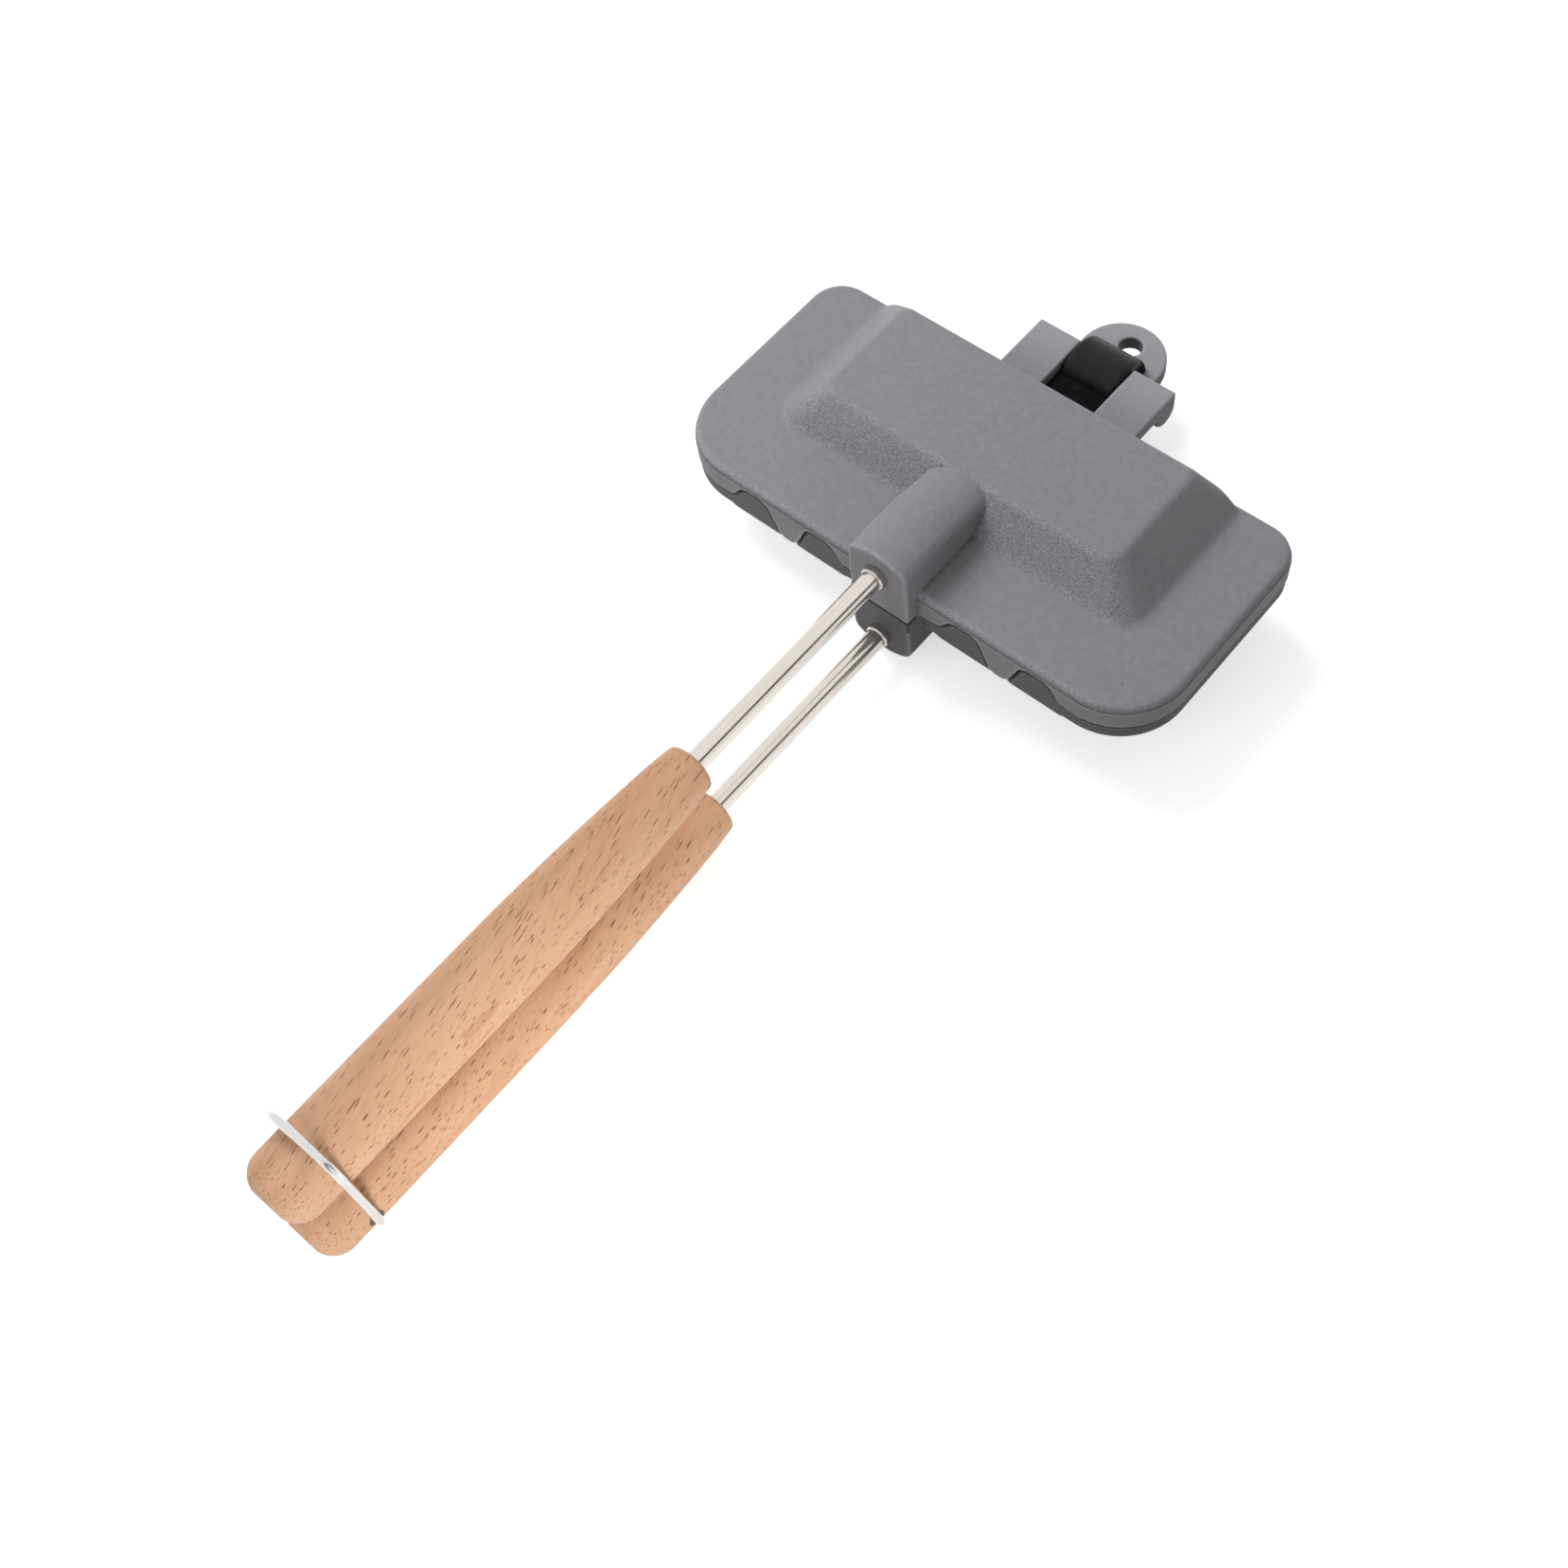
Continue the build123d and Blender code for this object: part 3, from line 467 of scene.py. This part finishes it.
def studio_floor():
    """Plain floor, white to the camera and duller as a source of light, which keeps the shadow."""
    shape = bmesh.new()
    bmesh.ops.create_grid(shape, x_segments=1, y_segments=1, size=FLOOR_HALF_SIZE)
    mesh = bpy.data.meshes.new("floor")
    shape.to_mesh(mesh)
    shape.free()
    floor = bpy.data.objects.new("floor", mesh)
    floor.location = (0, 0, cad_low.z - FLOOR_GAP)
    bpy.context.scene.collection.objects.link(floor)
    material, tree, shader = new_material("pale_floor")
    path = node(tree, "ShaderNodeLightPath").outputs
    colour = mix_colour(tree, path["Is Camera Ray"], [FLOOR_TONE] * 3, [FLOOR_SEEN] * 3)
    tree.links.new(colour, shader.inputs["Base Color"])
    shader.inputs["Roughness"].default_value = 1.0
    shader.inputs["Specular IOR Level"].default_value = 0.0
    shader.inputs["Emission Color"].default_value = (1, 1, 1, 1)
    shown = math_node(tree, "MAXIMUM", path["Is Camera Ray"], path["Is Glossy Ray"])
    tree.links.new(math_node(tree, "MULTIPLY", shown, FLOOR_GLOW), shader.inputs["Emission Strength"])
    mesh.materials.append(material)


def soft_light(name, place_at, aim, size, power, spread=180):
    """Rectangular lamp that metal doesn't mirror."""
    data = bpy.data.lights.new(name, "AREA")
    data.shape = "RECTANGLE"
    data.size, data.size_y = size
    data.energy = power
    data.spread = math.radians(spread)
    lamp = bpy.data.objects.new(name, data)
    lamp.location = place_at
    lamp.visible_glossy = False
    lamp.rotation_euler = (Vector(aim) - Vector(place_at)).to_track_quat("-Z", "Y").to_euler()
    bpy.context.scene.collection.objects.link(lamp)


def photo_camera():
    """Camera at the photo's place and angle."""
    data = bpy.data.cameras.new("camera")
    data.sensor_width = SENSOR_WIDTH
    data.lens = FOCAL_PIXELS * SENSOR_WIDTH / PHOTO_WIDTH
    camera = bpy.data.objects.new("camera", data)
    turn = Matrix((CAMERA_RIGHT, -CAMERA_DOWN, -CAMERA_FORWARD)).transposed()
    camera.matrix_world = Matrix.Translation(CAMERA_PLACE) @ turn.to_4x4()
    bpy.context.scene.collection.objects.link(camera)
    bpy.context.scene.camera = camera


studio_world()
studio_floor()
soft_light("key", (-0.6, 0.14, 0.78), (0, -0.03, 0), (0.55, 0.55), 6.2)
soft_light("fill", (-0.35, -1.2, 0.7), (0, -0.1, 0), (0.7, 0.6), 3)
soft_light("grip_side", (0.5, -0.45, 0.14), (0.0, -0.245, 0.02), (0.2, 0.2), 0.16, 34)
photo_camera()
bpy.context.scene.view_settings.view_transform = "Standard"
